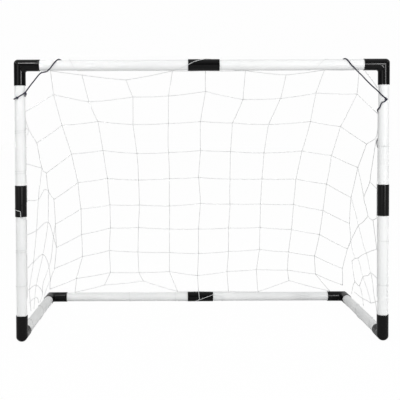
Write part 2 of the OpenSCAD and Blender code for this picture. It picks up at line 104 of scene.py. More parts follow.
# ---------------------------------------------------------------- sizes shared with the solids
X, FRONT, BACK, UP = (1, 0, 0), (0, -1, 0), (0, 1, 0), (0, 0, 1)
WIDTH, HEIGHT, DEPTH = 1.200, 0.905, 0.633
TUBE_R, FITTING_R = 0.0167, 0.01875
ELBOW_ARM, COUPLER = 0.0645, 0.100
HALF_W = WIDTH / 2 - FITTING_R
FRONT_Y = -DEPTH / 2 + FITTING_R
REAR_Y = DEPTH / 2 - FITTING_R
GROUND_Z, TOP_Z = FITTING_R, HEIGHT - FITTING_R
POST_JOINT_Z = (GROUND_Z + TOP_Z) / 2
CROSSBAR_JOINT_X, REAR_JOINT_X = 0.006, 0.012
TWINE, KNOT, PLAY = 0.0016, 0.0036, 0.0003
CORNER_TOP, CORNER_LOW = TOP_Z - 0.148, GROUND_Z + 0.038

# Sizes that the looks have for themselves: net strands, and the dark cord at the top corners
STRAND_R = 0.0009
CORD_R = 0.0020
WRAP = TUBE_R + PLAY + CORD_R


# ---------------------------------------------------------------- mesh building
class Mesh:
    """Collects swept tubes into one mesh with a UV map: metres along, turns round."""

    def __init__(self):
        self.points, self.faces, self.uvs = [], [], []

    def sweep(self, path, radii, sides=8, close_ends=True):
        """A round tube along the path, of one radius or of one for each point."""
        path = np.asarray(path, float)
        n = len(path)
        radii = np.full(n, radii, float) if np.isscalar(radii) else np.asarray(radii, float)
        tangent = np.gradient(path, axis=0)
        tangent /= np.linalg.norm(tangent, axis=1)[:, None]
        step = np.linalg.norm(np.diff(path, axis=0), axis=1)
        along = np.concatenate([[0], np.cumsum(step)])
        seed = np.array([0, 0, 1.0]) if abs(tangent[0][2]) < 0.9 else np.array([1.0, 0, 0])
        side = np.cross(tangent[0], seed)
        side /= np.linalg.norm(side)
        base = len(self.points)
        for i in range(n):
            side = side - tangent[i] * side.dot(tangent[i])
            side /= np.linalg.norm(side)
            up = np.cross(tangent[i], side)
            for k in range(sides):
                a = 2 * math.pi * k / sides
                self.points.append(path[i] + radii[i] * (math.cos(a) * side + math.sin(a) * up))
        for i in range(n - 1):
            for k in range(sides):
                m = (k + 1) % sides
                self.faces.append((base + i * sides + k, base + i * sides + m,
                                   base + (i + 1) * sides + m, base + (i + 1) * sides + k))
                u0, u1, v0, v1 = along[i], along[i + 1], k / sides, (k + 1) / sides
                self.uvs += [(u0, v0), (u0, v1), (u1, v1), (u1, v0)]
        if close_ends:
            for first, order in ((base, range(sides - 1, -1, -1)),
                                 (base + (n - 1) * sides, range(sides))):
                self.faces.append(tuple(first + k for k in order))
                self.uvs += [(along[0], k / sides) for k in range(sides)]

    def make(self, name, material, replaced):
        """The finished piece, shown in the place of a CAD node."""
        mesh = bpy.data.meshes.new(name)
        mesh.from_pydata([tuple(p) for p in self.points], [], self.faces)
        layer = mesh.uv_layers.new(name="UVMap")
        layer.data.foreach_set("uv", np.array(self.uvs, np.float32).ravel())
        mesh.polygons.foreach_set("use_smooth", [True] * len(mesh.polygons))
        mesh.materials.append(material)
        mesh.validate()
        mesh.update()
        obj = bpy.data.objects.new(name, mesh)
        bpy.context.scene.collection.objects.link(obj)
        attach(obj, "root")
        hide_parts(replaced)


def smooth_path(points, per_span=6):
    """Catmull-Rom curve through the points."""
    p = np.asarray(points, float)
    ext = np.vstack([2 * p[0] - p[1], p, 2 * p[-1] - p[-2]])
    out = []
    for i in range(1, len(ext) - 2):
        a, b, c, d = ext[i - 1], ext[i], ext[i + 1], ext[i + 2]
        for t in np.arange(per_span) / per_span:
            out.append(0.5 * (2 * b + (c - a) * t + (2 * a - 5 * b + 4 * c - d) * t ** 2
                              + (3 * b - a - 3 * c + d) * t ** 3))
    out.append(ext[-2])
    return np.array(out)


# ---------------------------------------------------------------- materials
def new_material(name):
    """A material with its nodes, its links and its Principled shader."""
    mat = bpy.data.materials.new(name)
    mat.use_nodes = True
    nodes, links = mat.node_tree.nodes, mat.node_tree.links
    bsdf = nodes["Principled BSDF"]
    return mat, nodes, links, bsdf


def noise(nodes, links, coord, scale, detail=2.0):
    n = nodes.new("ShaderNodeTexNoise")
    n.inputs["Scale"].default_value = scale
    n.inputs["Detail"].default_value = detail
    links.new(coord, n.inputs["Vector"])
    return n.outputs["Fac"]


def ramp(nodes, links, fac, stops):
    n = nodes.new("ShaderNodeValToRGB")
    el = n.color_ramp.elements
    while len(el) < len(stops):
        el.new(0.5)
    for e, (pos, col) in zip(el, stops):
        e.position, e.color = pos, (*col, 1.0)
    links.new(fac, n.inputs["Fac"])
    return n.outputs["Color"]


def mapped(nodes, links, fac, low, high, start=0.0, curve="LINEAR"):
    """A value from start to 1 brought to the range from low to high."""
    n = nodes.new("ShaderNodeMapRange")
    n.interpolation_type = curve
    n.inputs["From Min"].default_value = start
    n.inputs["To Min"].default_value = low
    n.inputs["To Max"].default_value = high
    links.new(fac, n.inputs["Value"])
    return n.outputs["Result"]


def maths(nodes, links, operation, *values):
    """A Math node's result. A value is a number or another node's output."""
    n = nodes.new("ShaderNodeMath")
    n.operation = operation
    for socket, value in zip(n.inputs, values):
        if isinstance(value, (int, float)):
            socket.default_value = value
        else:
            links.new(value, socket)
    return n.outputs["Value"]


def mixed(nodes, links, fac, first, second):
    """Two shaders mixed, by a number or by another node's output."""
    n = nodes.new("ShaderNodeMixShader")
    if isinstance(fac, float):
        n.inputs[0].default_value = fac
    else:
        links.new(fac, n.inputs[0])
    links.new(first, n.inputs[1])
    links.new(second, n.inputs[2])
    return n.outputs[0]


def bump(nodes, links, height, strength, distance, normal=None):
    n = nodes.new("ShaderNodeBump")
    n.inputs["Strength"].default_value = strength
    n.inputs["Distance"].default_value = distance
    links.new(height, n.inputs["Height"])
    if normal is not None:
        links.new(normal, n.inputs["Normal"])
    return n.outputs["Normal"]


def white_tube_material():
    """White tube: smooth plastic, barely clouded."""
    mat, nodes, links, bsdf = new_material("white_tube_plastic")
    coord = nodes.new("ShaderNodeTexCoord").outputs["Object"]
    cloud = noise(nodes, links, coord, 9.0, 3.0)
    fine = noise(nodes, links, coord, 900.0, 2.0)
    colour = ramp(nodes, links, cloud, [(0.3, (0.83, 0.84, 0.84)), (0.75, (0.88, 0.885, 0.88))])
    links.new(colour, bsdf.inputs["Base Color"])
    links.new(mapped(nodes, links, noise(nodes, links, coord, 60.0, 4.0), 0.30, 0.42),
              bsdf.inputs["Roughness"])
    links.new(bump(nodes, links, fine, 0.06, 0.0002), bsdf.inputs["Normal"])
    bsdf.inputs["IOR"].default_value = 1.46
    bsdf.inputs["Specular IOR Level"].default_value = 0.4
    return mat


def black_fitting_material():
    """Black moulded plastic with a faint orange peel. It mirrors little but the lamps."""
    mat, nodes, links, bsdf = new_material("black_fitting_plastic")
    coord = nodes.new("ShaderNodeTexCoord").outputs["Object"]
    cloud = noise(nodes, links, coord, 25.0, 3.0)
    colour = ramp(nodes, links, cloud, [(0.3, (0.0008, 0.0008, 0.0010)),
                                        (0.8, (0.0020, 0.0020, 0.0022))])
    links.new(colour, bsdf.inputs["Base Color"])
    links.new(mapped(nodes, links, noise(nodes, links, coord, 120.0, 4.0), 0.12, 0.20),
              bsdf.inputs["Roughness"])
    peel = noise(nodes, links, coord, 420.0, 2.0)
    links.new(bump(nodes, links, peel, 0.10, 0.0002), bsdf.inputs["Normal"])
    bsdf.inputs["Specular IOR Level"].default_value = 0.2
    return mat


PLIES = 3


def twine_material(name, dark, light, pitch, strength):
    """Twisted twine: slanting strands along the UV's length, with fuzz, and painted shade that
    darkens the grooves between the plies.
    """
    mat, nodes, links, bsdf = new_material(name)
    uv = nodes.new("ShaderNodeTexCoord").outputs["UV"]
    sep = nodes.new("ShaderNodeSeparateXYZ")
    links.new(uv, sep.inputs[0])
    turns = maths(nodes, links, "MULTIPLY_ADD", sep.outputs["X"], 1 / pitch, sep.outputs["Y"])
    wave = maths(nodes, links, "SINE", maths(nodes, links, "MULTIPLY", turns, 2 * math.pi * PLIES))
    lay = mapped(nodes, links, wave, 0.0, 1.0, start=-1.0)
    coord = nodes.new("ShaderNodeTexCoord").outputs["Object"]
    fuzz = noise(nodes, links, coord, 2500.0, 2.0)
    # Painted shade: the colour is darkest in the grooves between the plies, where the bump below
    # sinks
    colour = ramp(nodes, links, lay, [(0.0, dark), (0.6, light)])
    links.new(colour, bsdf.inputs["Base Color"])
    inner = bump(nodes, links, lay, strength, 0.0004)
    links.new(bump(nodes, links, fuzz, 0.25, 0.0001, inner), bsdf.inputs["Normal"])
    bsdf.inputs["Roughness"].default_value = 0.75
    bsdf.inputs["Sheen Weight"].default_value = 0.15
    bsdf.inputs["Specular IOR Level"].default_value = 0.3
    return mat


WHITE = white_tube_material()
BLACK = black_fitting_material()
# Each twine's first colour is painted shade in the grooves between its plies, and its second is
# the plies' own tone
NET_TWINE = twine_material("net_twine", (0.64, 0.65, 0.66), (0.84, 0.85, 0.84), 0.004, 0.6)
NAVY = twine_material("navy_cord", (0.004, 0.004, 0.012), (0.014, 0.014, 0.040), 0.006, 0.8)

for name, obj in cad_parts.items():
    fitting = "elbow" in name or "coupler" in name
    if fitting or "tube" in name:
        obj.data.materials.clear()
        obj.data.materials.append(BLACK if fitting else WHITE)

# ---------------------------------------------------------------- the net's knots in balance
# Rows run from the crossbar (0) to the rear bar, and columns from the left corner strand (0) to
# the right one
LAST_ROW, LAST_COL = 9, 10
# Where the columns meet the two bars, in shares of the width, and those not tied to the bar there
TOP_SHARE = [-0.417, -0.327, -0.206, -0.082, 0.009, 0.12, 0.232, 0.335, 0.43]
REAR_SHARE = [-0.417, -0.318, -0.185, -0.069, 0.004, 0.107, 0.206, 0.314, 0.451]
TOP_FREE, REAR_FREE = (2, 3, 7), (2, 3, 8)
# Each strand's pull over its length
ACROSS_PULL = [0.24, 0.28, 0.28, 0.28, 0.27, 0.26, 0.22, 0.19, 0.17, 0.10]
TOP_EDGE_PULL = [8, 6, 5.8, 6, 6, 5.6, 6.1, 6]
REAR_EDGE_PULL, CORNER_PULL, FIRST_PULL, SIDE_PULL = 1.6, 2.1, 1.6, 0.063
# A side net's rows, how many free knots each has, the row that each upright starts from, and the
# upright's share of the way along the side bar
SIDE_ROWS = range(2, 8)
SIDE_COUNT = {2: 0, 3: 1, 4: 2, 5: 2, 6: 3, 7: 4}
UPRIGHT_FROM = {1: 2, 2: 3, 3: 5, 4: 6, 5: 7}
UPRIGHT_SHARE = {1: 0.17, 2: 0.36, 3: 0.55, 4: 0.74, 5: 0.9}
SIDE_SPACING = 0.110
FIRST_TIE, TIE_STEP = 0.923, 0.156
KNOT_REACH = KNOT * 0.71  # from a knot's middle to its face
KNOT_WEIGHT = 0.001
# Where a knot sits on its bar: the direction outwards from the bar's middle
ON_CROSSBAR, ON_REAR_BAR = (0.6, -0.8), (-0.17, 0.985)
ON_POST, ON_SIDE_BAR = (0.866, 0.5), (0.5, 0.866)
# How far the corner strands end inside the side bar and ahead of the rear bar
CORNER_INWARD, CORNER_AHEAD = 0.008, 0.020


def seat(on_fitting):
    """From a bar's middle to a knot tied to it."""
    return (FITTING_R if on_fitting else TUBE_R) + PLAY + KNOT_REACH


def near(at, joint, margin=KNOT):
    """Whether a place on a bar lies on the coupler at the joint."""
    return abs(at - joint) < COUPLER / 2 + margin


def tie_z(row):
    """The height at which a row of a side net is tied to the post."""
    return GROUND_Z + (CORNER_TOP - GROUND_Z) * (FIRST_TIE - TIE_STEP * (row - SIDE_ROWS[0]))


def hand(side):
    """The sign of x on a side: 0 is the left and 1 the right."""
    return -1 if side == 0 else 1


def start_places():
    """Every knot's starting place, and which knots are tied to the frame."""
    at, tied = {}, set()
    for c in range(1, LAST_COL):
        x = TOP_SHARE[c - 1] * 2 * HALF_W
        r = seat(near(x, CROSSBAR_JOINT_X, 1.5 * COUPLER))
        at[0, c] = (x, FRONT_Y + r * ON_CROSSBAR[0], TOP_Z + r * ON_CROSSBAR[1])
        x = REAR_SHARE[c - 1] * 2 * HALF_W
        r = seat(near(x, REAR_JOINT_X, 1.5 * COUPLER) or abs(x) > HALF_W - ELBOW_ARM - KNOT)
        at[LAST_ROW, c] = (x, REAR_Y + r * ON_REAR_BAR[0], GROUND_Z + r * ON_REAR_BAR[1])
        if c not in TOP_FREE:
            tied.add((0, c))
        if c not in REAR_FREE:
            tied.add((LAST_ROW, c))
    reach = (seat(False) + 2 * PLAY) * 0.707  # the first corner knots lie at 45 degrees
    for s, c in ((0, 0), (1, LAST_COL)):
        for r in range(1, LAST_ROW):
            t = (r - 1) / (LAST_ROW - 2)
            at[r, c] = (hand(s) * (HALF_W - reach * (1 - t) - CORNER_INWARD * t),
                        FRONT_Y + reach * (1 - t) + (REAR_Y - CORNER_AHEAD - FRONT_Y) * t,
                        CORNER_TOP * (1 - t) + CORNER_LOW * t)
        tied |= {(1, c), (LAST_ROW - 1, c)}
    for r in range(1, LAST_ROW):
        for c in range(1, LAST_COL):
            t = r / LAST_ROW
            at[r, c] = tuple(np.array(at[0, c]) * (1 - t) + np.array(at[LAST_ROW, c]) * t)
    for s in (0, 1):
        for r in SIDE_ROWS:
            for j in range(1, SIDE_COUNT[r] + 1):
                at["side", s, r, j] = (hand(s) * HALF_W, FRONT_Y + j * SIDE_SPACING, tie_z(r))
            d = seat(near(tie_z(r), POST_JOINT_Z))
            at["post", s, r] = (hand(s) * (HALF_W - d * ON_POST[0]), FRONT_Y + d * ON_POST[1],
                                tie_z(r))
            tied.add(("post", s, r))
        for j, share in UPRIGHT_SHARE.items():
            y = FRONT_Y + share * (REAR_Y - FRONT_Y)
            d = seat(y > REAR_Y - ELBOW_ARM - KNOT)
            at["bar", s, j] = (hand(s) * (HALF_W - d * ON_SIDE_BAR[0]), y,
                               GROUND_Z + d * ON_SIDE_BAR[1])
            tied.add(("bar", s, j))
    return at, tied


def net_strands():
    """Strands as (knot, knot, pull, panel)."""
    def chain(places, pull, panel):
        return [(a, b, pull, panel) for a, b in zip(places, places[1:])]

    out = []
    for c in range(1, LAST_COL - 1):
        out.append(((0, c), (0, c + 1), TOP_EDGE_PULL[c - 1], "back"))
        out.append(((LAST_ROW, c), (LAST_ROW, c + 1), REAR_EDGE_PULL, "back"))
    for r in range(1, LAST_ROW):
        for c in range(LAST_COL):
            out.append(((r, c), (r, c + 1), ACROSS_PULL[c], "back"))
    for c in range(1, LAST_COL):
        for r in range(LAST_ROW):
            out.append(((r, c), (r + 1, c), FIRST_PULL if r == 0 else 1.0, "back"))
    for s, c in ((0, 0), (1, LAST_COL)):
        for r in range(1, LAST_ROW - 1):
            out.append(((r, c), (r + 1, c), CORNER_PULL, "back"))
        for r in SIDE_ROWS:
            row = [("side", s, r, j) for j in range(1, SIDE_COUNT[r] + 1)]
            out += chain([("post", s, r), *row, (r, c)], SIDE_PULL, s)
        for j, first in UPRIGHT_FROM.items():
            column = [("side", s, r, j) for r in SIDE_ROWS if r > first and SIDE_COUNT[r] >= j]
            out += chain([(first, c), *column, ("bar", s, j)], SIDE_PULL, s)
    return out


def balance(at, tied, strands, steps=600):
    """Lets the free knots settle under their strands' pulls and their own weight."""
    names = list(at)
    index = {n: i for i, n in enumerate(names)}
    p = np.array([at[n] for n in names])
    a = np.array([index[s[0]] for s in strands])
    b = np.array([index[s[1]] for s in strands])
    q = np.array([s[2] for s in strands])[:, None]
    free = np.array([n not in tied for n in names])
    total = np.zeros((len(names), 1))
    np.add.at(total, a, q)
    np.add.at(total, b, q)
    weight = np.array([0, 0, KNOT_WEIGHT])
    for _ in range(steps):
        pull = np.zeros_like(p)
        np.add.at(pull, a, p[b] * q)
        np.add.at(pull, b, p[a] * q)
        p[free] = ((pull - weight) / total)[free]
    return {n: p[i] for i, n in enumerate(names)}


# Where the photo shows the back net's knots, in pixels: rows from the crossbar down
KNOTS_PX = [
    [None, (50.3, 71.5), (82, 75), (126, 80), (172.5, 72.5), (205.5, 72.5), (245.5, 73),
     (286, 75), (324.5, 72), (359, 72), None],
    [(25, 112), (53.5, 94.5), (89, 102), (133, 97), (168.5, 96), (205.5, 91.5), (243, 99.5),
     (280.5, 98.5), (316, 93), (357, 94), (378, 114)],
    [(36.8, 143), (62, 125.5), (98, 121.5), (133, 124.5), (168.5, 123.5), (200.5, 121.5),
     (232.5, 123), (268.5, 124.5), (310.5, 121.5), (340.5, 126.5), (366.5, 144)],
    [(46.3, 173), (71.5, 154), (103, 150.5), (137, 153.5), (168.5, 152.5), (200.5, 150.5),
     (230.5, 151.5), (264, 153), (302, 151), (331.5, 155.5), (357.8, 167.5)],
    [(54, 199.5), (78, 182.5), (107.5, 178.5), (138.5, 180), (169.5, 178.5), (198.5, 177.5),
     (230, 179), (262, 179), (296, 179), (326.5, 184), (351, 197.5)],
    [(55.5, 224), (81, 209), (110, 205), (139.5, 205), (169.5, 206), (200.5, 203.5), (230, 204),
     (260.5, 204), (293.5, 204.5), (323, 210.5), (349.5, 223.5)],
    [(56.5, 247.5), (81.5, 234.5), (110.5, 228), (138.5, 227.5), (169.5, 229), (198.5, 229),
     (228.5, 228), (260, 227.5), (291.5, 229.5), (319.5, 234.5), (347.5, 249)],
    [(54.5, 268.5), (82.5, 256.5), (109.5, 250.5), (138, 252), (169.5, 252.5), (198.5, 253.5),
     (228.5, 251.5), (259.5, 249.5), (288.5, 252), (314.5, 256), (342.5, 268.5)],
    [(50, 289), (76.5, 278.5), (110.5, 272.5), (139, 272.5), (169.5, 271.5), (197.5, 275.5),
     (227, 271.5), (256.5, 269.5), (287.5, 270), (315.5, 274), (342.5, 285)],
    [None, (75, 292), (104.5, 285), (143.5, 281), (177.5, 291), (198.5, 290.5), (228.5, 290.5),
     (258, 289), (289, 280.5), (329.5, 290), None],
]
# Where a corner strand bends between two of its knots
BENDS_PX = {
    ((1, 0), (2, 0)): [(25.8, 120), (28.2, 128), (31.5, 134.5)],
    ((2, 0), (3, 0)): [(42, 168)],
    ((3, 0), (4, 0)): [(48.3, 190.5)],
    ((7, 0), (8, 0)): [(50.5, 280)],
    ((1, 10), (2, 10)): [(377.6, 130), (375.2, 138.3)],
    ((5, 10), (6, 10)): [(350.6, 240)],
}
SLOPE = Vector((0, REAR_Y - FRONT_Y, GROUND_Z - TOP_Z)).normalized()
SLOPE_NORMAL = Vector(X).cross(SLOPE)


def follow_photo(knots, tied):
    """Moves the back net's free knots within its slope, and the tied ones along their bar."""
    for r, row in enumerate(KNOTS_PX):
        for c, pixel in enumerate(row):
            if pixel is None:
                continue
            old = knots[r, c]
            if r in (0, LAST_ROW) and (r, c) in tied:
                x = moved_to_pixel(old, (pixel[0], pixel_of(old)[1]), BACK)[0]
                knots[r, c] = np.array([x, *old[1:]])
            elif c in (0, LAST_COL):
                knots[r, c] = moved_to_pixel(old, pixel, BACK)
            else:
                knots[r, c] = moved_to_pixel(old, pixel, SLOPE_NORMAL)


knots, tied = start_places()
strands = net_strands()
knots = balance(knots, tied, strands)
follow_photo(knots, tied)


# ---------------------------------------------------------------- net pieces
SAG = 0.010  # in shares of a strand's length
BOW_MM = (0.5, 0.3)


def strand_path(a, b, count=9):
    """From knot to knot, with a slight sag and bow."""
    t = np.linspace(0, 1, count)[:, None]
    span = np.linalg.norm(b - a)
    arch = 4 * t * (1 - t)
    bow = np.array([rng.normal(0, BOW_MM[0]), rng.normal(0, BOW_MM[1]), 0]) * MM
    return a * (1 - t) + b * t + arch * (np.array([0, 0, -SAG * span]) + bow)


def bent_strand_path(a, b, pixels):
    """From knot to knot through the bends that the photo shows."""
    steps = len(pixels) + 1
    bends = [moved_to_pixel(a + (b - a) * ((i + 1) / steps), pixel, BACK)
             for i, pixel in enumerate(pixels)]
    return smooth_path([a, *bends, b], 5)


# The side nets as the photo shows them: each strand as the pixels that it passes
LEFT_SIDE_PX = [
    [(25.3, 163.5), (33.5, 165.8), (42, 168)],
    [(27.3, 200.5), (38.3, 199.5), (44, 190), (48.3, 190.5)],
    [(27.3, 235), (36.5, 230.5), (48, 222), (53.5, 237), (56.5, 247.5)],
    [(27.8, 268), (33.5, 262), (43, 254.5), (48.3, 264), (50.5, 280)],
    [(28.3, 290), (36.3, 285), (42.5, 292.5), (40, 302)],
    [(29, 303), (33, 299), (37, 297.5), (39, 303)],
    [(42, 168), (40.5, 180), (38.3, 199.5), (36.5, 230.5), (33.5, 262), (31.5, 275), (29.5, 290),
     (31, 311)],
    [(48.3, 190.5), (48, 222), (43, 254.5), (36.3, 285), (34, 309)],
    [(55.5, 224), (53.5, 237), (50.5, 262), (43.5, 282), (42.5, 292.5)],
    [(50.5, 280), (46, 290), (44, 298)],
]
RIGHT_SIDE_PX = [
    [(376.3, 138.5), (374.5, 150), (373, 160), (371, 172), (369.5, 183), (364, 197), (366, 207),
     (368, 216)],
    [(370, 182), (373, 185), (377, 189)],
    [(357.8, 167.5), (360.5, 180), (364, 197)],
    [(351, 197.5), (353.5, 206), (356, 215), (358.5, 225.5), (361, 235), (364, 247), (366.5, 253)],
    [(368, 216), (363, 222), (358.5, 225.5), (354, 234), (350.6, 241), (347.5, 249)],
    [(368, 216), (370, 218.5), (373, 220), (377.5, 217.5)],
    [(373, 220), (374, 228), (375.5, 240), (376.8, 249)],
    [(352, 261), (355, 258.5), (358, 258), (362, 255), (366.5, 253), (371, 251), (377.5, 249)],
    [(350.6, 241), (352.5, 250), (355, 258.5)],
    [(352, 261), (353, 270), (354.5, 281), (353, 286), (351.5, 294)],
    [(358, 258), (360, 265), (361.5, 272), (363, 277), (365, 283), (368, 292), (371, 303)],
    [(366.5, 253), (368, 260), (370, 270), (371, 273), (372.5, 282), (374, 295), (376, 305),
     (377, 313)],
    [(354.5, 281), (357, 284), (359.5, 285.5), (363, 277), (368, 275.5), (371, 273), (377.8, 279)],
    [(359.5, 285.5), (361, 290), (362.5, 297), (363.5, 306)],
    [(354.5, 292), (358, 295), (362, 298), (368, 301), (371, 303), (377.8, 301)],
]
# The strand from the crossbar to the right post above the net's corner
RIGHT_EDGE_PX = [(365.5, 71.5), (371.5, 79.5), (377.5, 88)]


def side_point(side, pixel):
    """On a pixel's ray, at a depth between the post's and the corner strand's."""
    column = 0 if side == 0 else LAST_COL
    post = (hand(side) * (HALF_W - 0.012), FRONT_Y + 0.010, TOP_Z)
    corner = [pixel_of(knots[r, column]) for r in range(1, LAST_ROW)]
    rows = [c[1] for c in corner]
    across = np.interp(pixel[1], rows, [c[0] for c in corner])
    deep = np.interp(pixel[1], rows, [c[2] for c in corner])
    post_px, _, post_deep = pixel_of(post)
    share = np.clip((pixel[0] - post_px) / (across - post_px + 1e-6), 0.0, 1.0)
    return np.array(CAMERA_AT + pixel_ray(pixel) * (post_deep + (deep - post_deep) * share))


def trefoil(count, size):
    """The closed path of an overhand knot, lying in the xy plane."""
    t = np.linspace(0, 2 * math.pi, count)
    return size * np.stack([np.sin(t) + 2 * np.sin(2 * t), np.cos(t) - 2 * np.cos(2 * t),
                            -1.3 * np.sin(3 * t)], axis=1)


def tied_knot(mesh, at):
    """A small tied knot of the same twine, turned at random."""
    loop = trefoil(28, 0.42 * MM)
    turn_y, turn_x = (Matrix.Rotation(rng.uniform(0, 6.28), 3, axis) for axis in "YX")
    mesh.sweep(at + loop @ np.array(turn_y @ turn_x), TWINE * 0.42, sides=6, close_ends=False)


# Spare twine: an end under the crossbar by the left elbow, and a loop at the left post. Each
# point is its x, and how far back and up it lies from the crossbar's middle
LOOSE_ENDS = [
    [(-0.521, -0.008, -0.0180), (-0.511, -0.010, -0.0212), (-0.499, -0.010, -0.0226),
     (-0.488, -0.009, -0.0206), (-0.494, -0.012, -0.0184), (-0.507, -0.012, -0.0196),
     (-0.517, -0.011, -0.0216)],
    [(-0.5655, -0.009, -0.2010), (-0.5590, -0.011, -0.2018), (-0.5545, -0.011, -0.2040),
     (-0.5540, -0.010, -0.2120), (-0.5565, -0.009, -0.2215)],
]


def over_rear_coupler():
    """The end of the middle strand, down the front of the rear coupler to the lacing."""
    path = []
    reach, first_turn, step = FITTING_R + 1.1 * MM, 88, 14.5
    first_px, step_px = 198.5, 0.12
    for k in range(9):
        a = math.radians(first_turn - step * k)
        at = (0, REAR_Y - reach * math.cos(a), GROUND_Z + reach * math.sin(a))
        path.append(moved_to_pixel(at, (first_px + step_px * k, pixel_of(at)[1]), BACK))
    return path


def back_net():
    """The back net with its spare ends, and a knot at the end of every strand."""
    mesh = Mesh()
    ends = []
    for a, b, _, panel in strands:
        if panel != "back":
            continue
        if (a, b) in BENDS_PX:
            path = bent_strand_path(knots[a], knots[b], BENDS_PX[a, b])
        else:
            path = strand_path(knots[a], knots[b])
        mesh.sweep(path, STRAND_R)
        ends += [k for k in (a, b) if k not in ends]
    for end in LOOSE_ENDS:
        mesh.sweep(smooth_path([(x, FRONT_Y + y, TOP_Z + z) for x, y, z in end], 5), STRAND_R)
    mesh.sweep(over_rear_coupler(), STRAND_R)
    for k in ends:
        tied_knot(mesh, knots[k])
    mesh.make("back_net_twine", NET_TWINE, "back_net")


def side_net(side, lines, name, replaced):
    """A side net of its strands, tied where two of them share a pixel."""
    mesh = Mesh()
    met = {}
    for line in lines:
        mesh.sweep(smooth_path([side_point(side, p) for p in line], 5), STRAND_R)
        for p in line:
            met[p] = met.get(p, 0) + 1
    for p, count in met.items():
        if count > 1:
            tied_knot(mesh, side_point(side, p))
    mesh.make(name, NET_TWINE, replaced)


back_net()
side_net(0, LEFT_SIDE_PX, "left_side_net_twine", "left_side_net")
side_net(1, RIGHT_SIDE_PX + [RIGHT_EDGE_PX], "right_side_net_twine", "right_side_net")

# ---------------------------------------------------------------- lacings
# Each as places along its bar with the turn there in degrees, and straight between them. On the
# crossbar and rear bar, -1 and 1 are the corners. On a post, 0 is its foot and 1 the net's top
CROSSBAR_PLACES = [[-0.74, 150], [-0.712, 20], [-0.695, -40], [-0.678, -90], [-0.193, -90],
                   [-0.152, -72], [-0.091, -16], [-0.047, 26], [0, 58], [0.05, 105], [0.1, 158],
                   [0.2, 270], [0.585, 270], [0.616, 310], [0.643, 360], [0.667, 410],
                   [0.695, 460], [0.737, 530]]
REAR_PLACES = [[-0.858, 165], [-0.466, 165], [-0.456, -195], [-0.154, -195], [-0.145, -555],
               [-0.142, -555], [-0.127, -435], [-0.124, -418], [-0.0895, -418],
               [-0.017, -420], [0.0068, -392], [0.107, -328], [0.131, -338], [0.165, -345],
               [0.181, -555], [0.868, -555]]
PAST_TIES = 15  # the turn at which a post's lacing passes its ties
LEFT_POST_PLACES = [[0.963, PAST_TIES], [0.919, PAST_TIES], [0.9, PAST_TIES - 720],
                    [0.739, PAST_TIES - 720], [0.72, PAST_TIES - 1440],
                    [0.69, PAST_TIES - 1440], [0.6, PAST_TIES - 1440], [0.58, -1350],
                    [0.569, -1260], [0.559, -1165], [0.53, -1160], [0.514, PAST_TIES - 1080],
                    [0.484, PAST_TIES - 1080], [0.387, PAST_TIES - 1080],
                    [0.368, PAST_TIES - 1800], [0.2255, PAST_TIES - 1800],
                    [0.2185, PAST_TIES - 2160], [0.168, PAST_TIES - 2160]]
RIGHT_POST_PLACES = [[0.963, PAST_TIES], [0.845, PAST_TIES], [0.838, PAST_TIES - 360],
                     [0.722, PAST_TIES - 360], [0.692, PAST_TIES - 360],
                     [0.514, PAST_TIES - 360], [0.484, PAST_TIES - 360],
                     [0.423, PAST_TIES - 360], [0.416, PAST_TIES - 720],
                     [0.2255, PAST_TIES - 720], [0.2185, PAST_TIES - 1080],
                     [0.168, PAST_TIES - 1080]]


NO_JOINT = 9.0  # far from any bar
STEP_DEG, STEP_ALONG = 9, 0.006


def lace_reach(s, joint):
    """From a bar's middle to its lacing's, which steps down from the coupler to the tube."""
    gap = abs(s - joint) - COUPLER / 2
    drop = min(1.0, max(0.0, (gap - 0.004) / 0.010))
    return FITTING_R - (FITTING_R - TUBE_R) * drop + TWINE / 2 + PLAY / 2


def lacing(name, cad_node, base, along, out, up, places, joint=NO_JOINT):
    """Twine wound round a bar. Its turn is 0 towards out and 90 degrees towards up."""
    base, along, out, up = (np.array(v, float) for v in (base, along, out, up))
    path = []
    for (s0, a0), (s1, a1) in zip(places, places[1:]):
        steps = max(2, int(abs(a1 - a0) / STEP_DEG), int(abs(s1 - s0) / STEP_ALONG))
        for i in range(steps + (places[-1] == [s1, a1])):
            t = i / steps
            s, a = s0 + (s1 - s0) * t, math.radians(a0 + (a1 - a0) * t)
            outward = out * math.cos(a) + up * math.sin(a)
            path.append(base + along * s + outward * lace_reach(s, joint))
    mesh = Mesh()
    mesh.sweep(path, TWINE / 2, sides=8)
    mesh.make(name, NET_TWINE, cad_node)


def scaled(places):
    return [[s * HALF_W, a] for s, a in places]


SIDE_BAR_END = 0.0895  # from a corner's middle to where a side bar's lacing ends
lacing("crossbar_lacing_twine", "crossbar_lacing", (0, FRONT_Y, TOP_Z), X, FRONT, UP,
       scaled(CROSSBAR_PLACES), CROSSBAR_JOINT_X)
lacing("rear_bar_lacing_twine", "rear_bar_lacing", (0, REAR_Y, GROUND_Z), X, FRONT, UP,
       scaled(REAR_PLACES), REAR_JOINT_X)
for s, side, places in ((0, "left", LEFT_POST_PLACES), (1, "right", RIGHT_POST_PLACES)):
    inward = (-hand(s), 0, 0)
    lacing(f"{side}_post_lacing_twine", f"{side}_post_lacing", (hand(s) * HALF_W, FRONT_Y, 0), UP,
           inward, BACK, [[GROUND_Z + (CORNER_TOP - GROUND_Z) * t, a] for t, a in places],
           POST_JOINT_Z)
    lacing(f"{side}_bar_lacing_twine", f"{side}_bar_lacing", (hand(s) * HALF_W, 0, GROUND_Z), BACK,
           inward, UP, [[FRONT_Y + SIDE_BAR_END, -15], [REAR_Y - SIDE_BAR_END, 705]])

